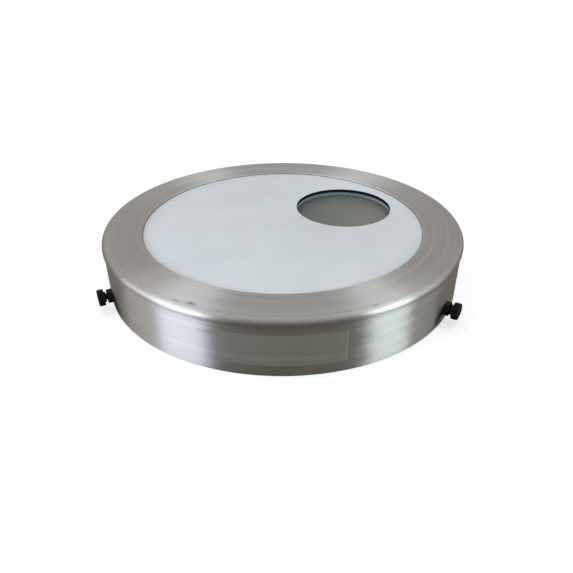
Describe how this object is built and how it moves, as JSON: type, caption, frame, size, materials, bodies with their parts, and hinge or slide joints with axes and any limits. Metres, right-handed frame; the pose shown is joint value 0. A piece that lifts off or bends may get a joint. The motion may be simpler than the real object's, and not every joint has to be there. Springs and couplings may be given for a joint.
{
  "type": "telescope solar filter",
  "caption": "Round slip-on solar filter for a telescope: spun aluminium cell, white mask board with an off-axis round aperture over coated glass, and side thumb screws.",
  "frame": {"origin": "on the cell's axis, in the plane of the skirt's open rim, which the part rests on", "axes": "+Z along the cell's axis, out of the front towards the sun; +Y to one thumb screw; the label faces about -Y and the aperture lies between +X and +Y"},
  "size_m": [0.2908, 0.3007, 0.0446],
  "materials": {
    "spun_aluminium": "spun, fine lathe lines round the axis",
    "white_faced_board": "white melamine-like face, dark brown cut edge and back",
    "silicone": "tooled bead, satin",
    "foam": "closed-cell foam, matt",
    "coated_glass": "dull grey metal coat on plate glass",
    "felt": "pressed wool felt",
    "clear_film": "satin clear film",
    "black_nylon": "moulded nylon, satin"
  },
  "bodies": {
    "filter_cell": {"cell": "spun_aluminium", "mask_board": "white_faced_board", "board_sealant": "silicone", "glass_gasket": "foam", "filter_glass": "coated_glass", "glass_sealant": "silicone", "felt_strip_1": "felt", "felt_strip_2": "felt", "felt_strip_3": "felt", "label": "clear_film", "hex_nut_1": "black_nylon", "hex_nut_2": "black_nylon", "hex_nut_3": "black_nylon"},
    "thumb_screw_1": {"thumb_screw_1": "black_nylon"},
    "thumb_screw_2": {"thumb_screw_2": "black_nylon"},
    "thumb_screw_3": {"thumb_screw_3": "black_nylon"}
  },
  "joints": [
    {"name": "thumb_screw_1_travel", "type": "slide", "parent": "filter_cell", "child": "thumb_screw_1", "axis": [0, -1, 0], "range_m": [-0.006, 0.0009]},
    {"name": "thumb_screw_2_travel", "type": "slide", "parent": "filter_cell", "child": "thumb_screw_2", "axis": [0.866, 0.5, 0], "range_m": [-0.006, 0.0009]},
    {"name": "thumb_screw_3_travel", "type": "slide", "parent": "filter_cell", "child": "thumb_screw_3", "axis": [-0.866, 0.5, 0], "range_m": [-0.006, 0.0009]}
  ]
}
